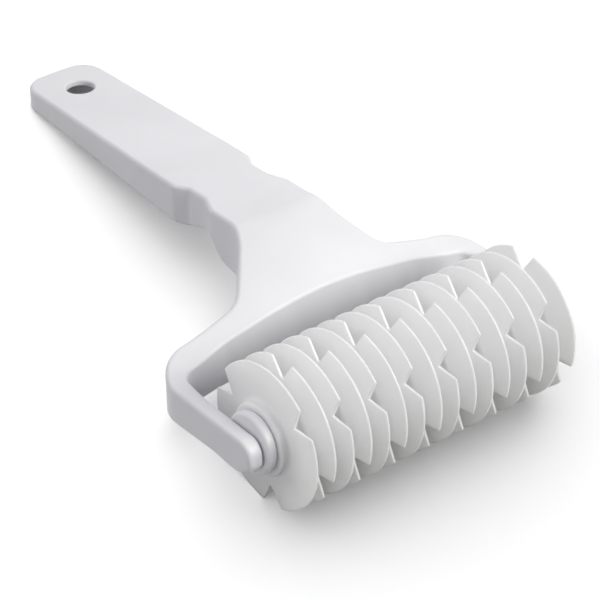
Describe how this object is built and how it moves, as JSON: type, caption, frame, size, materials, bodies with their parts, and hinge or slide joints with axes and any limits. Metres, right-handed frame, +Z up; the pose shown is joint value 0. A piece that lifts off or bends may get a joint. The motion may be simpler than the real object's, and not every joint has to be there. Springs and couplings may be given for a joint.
{
  "type": "lattice roller cutter",
  "caption": "Plastic lattice roller cutter: staggered notched blade discs on a keyed shaft that turns freely between the arms of a forked, hollow-backed handle with a hanging hole.",
  "frame": {"origin": "on the table, under the middle of the bounding box, with the tool lying on its blades and the end of its handle", "axes": "+X along the roller's axle, +Y towards the end of the handle, +Z up from the table"},
  "size_m": [0.1186, 0.1958, 0.0446],
  "materials": {
    "frame_plastic": "satin moulded white",
    "blade_plastic": "satin moulded white",
    "shaft_plastic": "satin moulded white"
  },
  "bodies": {
    "frame": {"handle_frame": "frame_plastic"},
    "roller": {"blade_disc_01": "blade_plastic", "blade_disc_02": "blade_plastic", "blade_disc_03": "blade_plastic", "blade_disc_04": "blade_plastic", "blade_disc_05": "blade_plastic", "blade_disc_06": "blade_plastic", "blade_disc_07": "blade_plastic", "blade_disc_08": "blade_plastic", "blade_disc_09": "blade_plastic", "blade_disc_10": "blade_plastic", "blade_disc_11": "blade_plastic", "blade_disc_12": "blade_plastic", "blade_disc_13": "blade_plastic", "blade_disc_14": "blade_plastic", "blade_disc_15": "blade_plastic", "blade_disc_16": "blade_plastic", "left_end_collar": "blade_plastic", "right_end_collar": "blade_plastic", "roller_shaft": "shaft_plastic"}
  },
  "joints": [
    {"name": "roller_spin", "type": "hinge", "parent": "frame", "child": "roller", "pos_m": [0, -0.07564, 0.0223], "axis": [1, 0, 0], "continuous": true}
  ]
}
